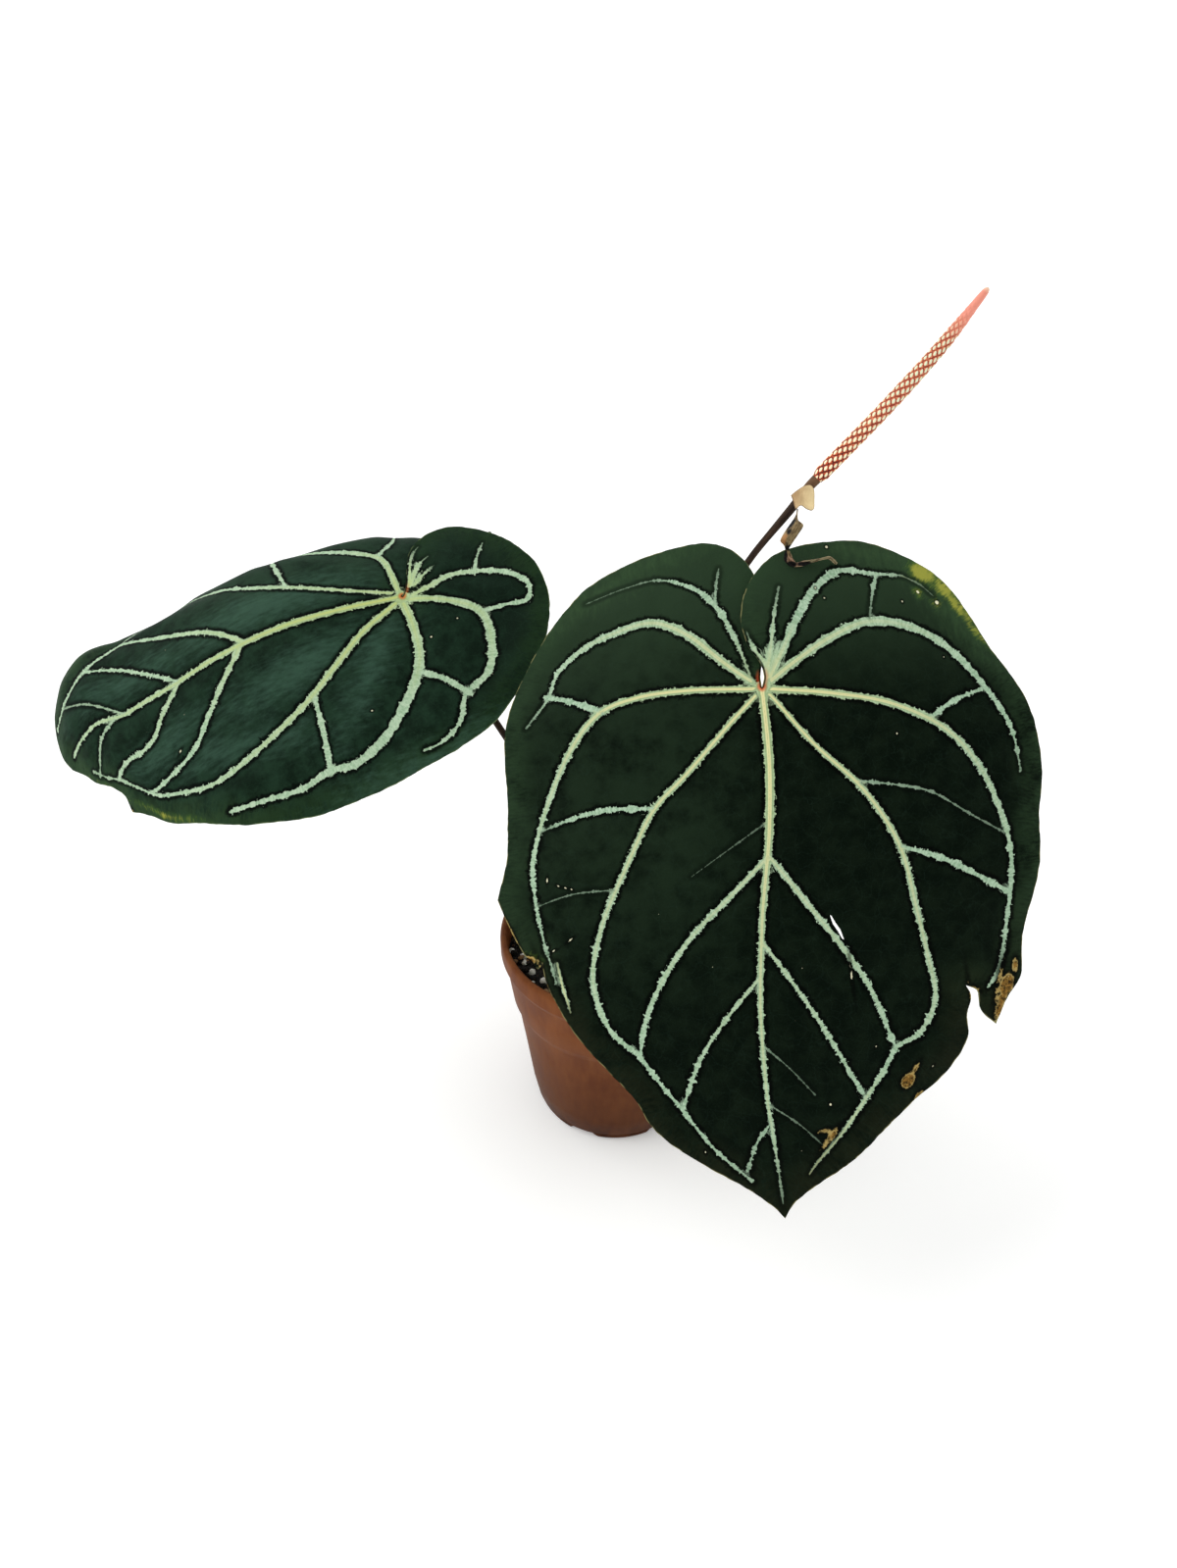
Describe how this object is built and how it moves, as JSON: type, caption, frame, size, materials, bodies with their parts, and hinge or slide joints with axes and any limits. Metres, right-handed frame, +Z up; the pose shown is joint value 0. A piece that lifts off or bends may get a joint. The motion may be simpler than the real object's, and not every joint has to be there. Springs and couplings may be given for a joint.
{
  "type": "potted anthurium",
  "caption": "Potted velvet-leaf anthurium: heart-shaped dark leaves with pale veins on brown stalks, and an upright spadix with a withered spathe, in a terracotta-coloured plastic nursery pot.",
  "frame": {"origin": "centre of the pot's base, on the surface that the pot stands on", "axes": "+Z up along the pot's axis; -Y to the plant's front, where the large leaf faces; +X to the plant's right as seen from the front"},
  "size_m": [0.44, 0.2799, 0.4223],
  "materials": {
    "pot": "satin",
    "soil": "matte",
    "crown": "matte",
    "petiole": "satin",
    "front_blade": "satin",
    "left_blade": "satin",
    "vein": "satin",
    "peduncle": "satin",
    "spathe": "matte",
    "spadix": "satin"
  },
  "bodies": {
    "root": {"pot": "pot", "soil": "soil", "crown": "crown", "front_petiole": "petiole", "left_petiole": "petiole", "front_leaf": "front_blade", "front_leaf_veins": "vein", "left_leaf": "left_blade", "left_leaf_veins": "vein", "peduncle": "peduncle", "spathe": "spathe", "spadix": "spadix"}
  },
  "joints": []
}
